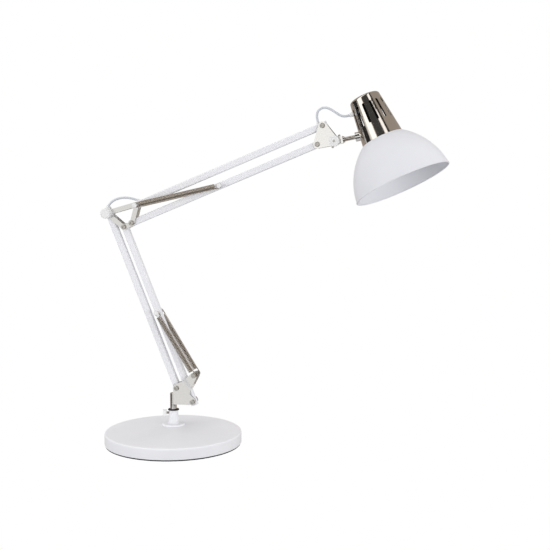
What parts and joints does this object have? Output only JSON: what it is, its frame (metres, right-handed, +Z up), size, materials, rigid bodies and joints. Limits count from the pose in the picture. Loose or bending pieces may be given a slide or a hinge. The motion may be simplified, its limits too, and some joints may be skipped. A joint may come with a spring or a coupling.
{
  "type": "desk lamp",
  "caption": "Balanced-arm desk lamp: round weighted base, sprung parallelogram arms of square tube, and a tilting dome shade under a slotted cap.",
  "frame": {"origin": "on the underside of the base, on the axis that the arm swivels about", "axes": "+Z up along the swivel axis, +X along the arms' reach towards the head, +Y square to the arms"},
  "size_m": [0.5072, 0.2, 0.5097],
  "materials": {
    "white_enamel": "satin white powder coat",
    "white_plastic": "moulded white plastic",
    "satin_nickel": "brushed nickel plate",
    "zinc_steel": "zinc-plated steel",
    "spring_steel": "nickel-plated spring wire",
    "iron": "raw casting",
    "black_pad": "matt black foam rubber",
    "black_plastic": "moulded black plastic",
    "grey_cable": "pale grey PVC sheath",
    "brass": "stamped sheet"
  },
  "bodies": {
    "base": {"base_pad": "black_pad", "base_cover": "white_enamel", "base_weight": "iron", "stem_socket": "white_enamel", "socket_liner": "black_plastic", "socket_nut": "zinc_steel"},
    "thumbscrew": {"thumbscrew_knob": "white_plastic", "thumbscrew_shank": "zinc_steel"},
    "bracket": {"spigot": "satin_nickel", "bracket_near_plate": "satin_nickel", "bracket_far_plate": "satin_nickel", "bracket_bolts": "zinc_steel", "bracket_nuts": "zinc_steel", "lower_spring_rivets": "zinc_steel"},
    "rear_tube": {"rear_tube": "white_enamel", "inlet_grommet": "white_plastic", "rear_tube_plug": "white_plastic", "rear_tube_wires": "grey_cable"},
    "front_tube": {"front_tube": "white_enamel", "lower_spring_pin": "white_plastic"},
    "lower_springs": {"lower_spring_near": "spring_steel", "lower_spring_far": "spring_steel"},
    "lower_spring_ends": {"lower_spring_loops": "spring_steel"},
    "elbow": {"elbow_near_plate": "satin_nickel", "elbow_far_plate": "satin_nickel", "elbow_bolts": "zinc_steel", "elbow_nuts": "zinc_steel", "upper_spring_post": "white_plastic", "elbow_cable": "grey_cable"},
    "elbow_knob": {"elbow_knob": "white_plastic", "elbow_clamp_bolt": "zinc_steel"},
    "top_tube": {"top_tube": "white_enamel", "cable_bushes": "white_plastic", "top_tube_cable": "grey_cable"},
    "bottom_tube": {"bottom_tube": "white_enamel", "upper_spring_pin": "white_plastic"},
    "upper_springs": {"upper_spring_near": "spring_steel", "upper_spring_far": "spring_steel"},
    "upper_spring_ends": {"upper_spring_loops": "spring_steel"},
    "head_bracket": {"head_near_plate": "satin_nickel", "head_far_plate": "satin_nickel", "head_bolts": "zinc_steel", "head_nuts": "zinc_steel", "wing_nut": "zinc_steel", "head_cable": "grey_cable"},
    "tilt_knob": {"tilt_knob": "white_plastic", "tilt_bolt": "zinc_steel"},
    "knuckle": {"knuckle": "satin_nickel"},
    "head": {"rod": "satin_nickel", "rod_collar": "satin_nickel", "rod_boss": "satin_nickel", "rod_nut": "zinc_steel", "cap": "satin_nickel", "cap_grommet": "white_plastic", "shade": "white_enamel", "lampholder": "black_plastic", "lampholder_ring": "black_plastic", "screw_shell": "brass", "centre_contact": "brass", "holder_lead": "grey_cable"}
  },
  "joints": [
    {"name": "thumbscrew_turn", "type": "hinge", "parent": "base", "child": "thumbscrew", "pos_m": [0, 0, 0.036], "axis": [-0.9641, -0.2656, 0], "range_deg": [-360, 0]},
    {"name": "swivel", "type": "hinge", "parent": "base", "child": "bracket", "pos_m": [0, 0, 0], "axis": [0, 0, 1], "range_deg": [-170, 170]},
    {"name": "lower_arm_tilt", "type": "hinge", "parent": "bracket", "child": "rear_tube", "pos_m": [0.0067, 0, 0.0747], "axis": [0, 1, 0], "range_deg": [-8, 50]},
    {"name": "front_tube_turn", "type": "hinge", "parent": "bracket", "child": "front_tube", "pos_m": [0.0313, 0, 0.0547], "axis": [0, 1, 0], "range_deg": [-8.5, 50.5]},
    {"name": "lower_spring_swing", "type": "hinge", "parent": "bracket", "child": "lower_springs", "pos_m": [0.0348, 0, 0.0955], "axis": [0, 1, 0], "range_deg": [-11.5, 69], "deforming": ["lower_spring_near", "lower_spring_far"]},
    {"name": "lower_spring_stretch", "type": "slide", "parent": "lower_springs", "child": "lower_spring_ends", "axis": [-0.5196, 0, 0.8544], "range_m": [-0.006, 0.002], "deforming": ["lower_spring_loops"]},
    {"name": "elbow_level", "type": "hinge", "parent": "rear_tube", "child": "elbow", "pos_m": [-0.09638, 0, 0.33504], "axis": [0, 1, 0], "range_deg": [-50.5, 8.5], "deforming": ["elbow_cable"]},
    {"name": "elbow_knob_turn", "type": "hinge", "parent": "elbow", "child": "elbow_knob", "pos_m": [-0.09638, 0, 0.33504], "axis": [0, 1, 0], "range_deg": [-90, 360]},
    {"name": "upper_arm_tilt", "type": "hinge", "parent": "elbow", "child": "top_tube", "pos_m": [-0.05267, 0, 0.34744], "axis": [0, 1, 0], "range_deg": [-18, 45]},
    {"name": "bottom_tube_turn", "type": "hinge", "parent": "elbow", "child": "bottom_tube", "pos_m": [-0.05987, 0, 0.32104], "axis": [0, 1, 0], "range_deg": [-18.5, 45.5]},
    {"name": "upper_spring_swing", "type": "hinge", "parent": "elbow", "child": "upper_springs", "pos_m": [-0.05267, 0, 0.34744], "axis": [0, 1, 0], "range_deg": [-19.5, 48], "deforming": ["upper_spring_near", "upper_spring_far"]},
    {"name": "upper_spring_stretch", "type": "slide", "parent": "upper_springs", "child": "upper_spring_ends", "axis": [0.9748, 0, 0.223], "range_m": [-0.009, 0.021], "deforming": ["upper_spring_loops"]},
    {"name": "head_level", "type": "hinge", "parent": "top_tube", "child": "head_bracket", "pos_m": [0.22469, 0, 0.46176], "axis": [0, 1, 0], "range_deg": [-45.5, 18.5]},
    {"name": "head_tilt", "type": "hinge", "parent": "head_bracket", "child": "knuckle", "pos_m": [0.24229, 0, 0.43986], "axis": [0, 1, 0], "range_deg": [-30, 45], "deforming": ["head_cable"]},
    {"name": "tilt_knob_turn", "type": "hinge", "parent": "head_bracket", "child": "tilt_knob", "pos_m": [0.24229, 0, 0.43986], "axis": [0, 1, 0], "range_deg": [-90, 360]},
    {"name": "head_turn", "type": "hinge", "parent": "knuckle", "child": "head", "pos_m": [0.24229, 0, 0.43986], "axis": [0.9816, 0, 0.1908], "range_deg": [-75, 75]}
  ],
  "couplings": [
    {"joint": "front_tube_turn", "follows": "lower_arm_tilt", "ratio": 1},
    {"joint": "elbow_level", "follows": "lower_arm_tilt", "ratio": -1},
    {"joint": "lower_spring_swing", "follows": "lower_arm_tilt", "ratio": 1.369},
    {"joint": "lower_spring_stretch", "follows": "lower_arm_tilt", "m_per_rad": -0.0055},
    {"joint": "bottom_tube_turn", "follows": "upper_arm_tilt", "ratio": 1},
    {"joint": "head_level", "follows": "upper_arm_tilt", "ratio": -1},
    {"joint": "upper_spring_swing", "follows": "upper_arm_tilt", "ratio": 1.046},
    {"joint": "upper_spring_stretch", "follows": "upper_arm_tilt", "m_per_rad": 0.0255}
  ]
}
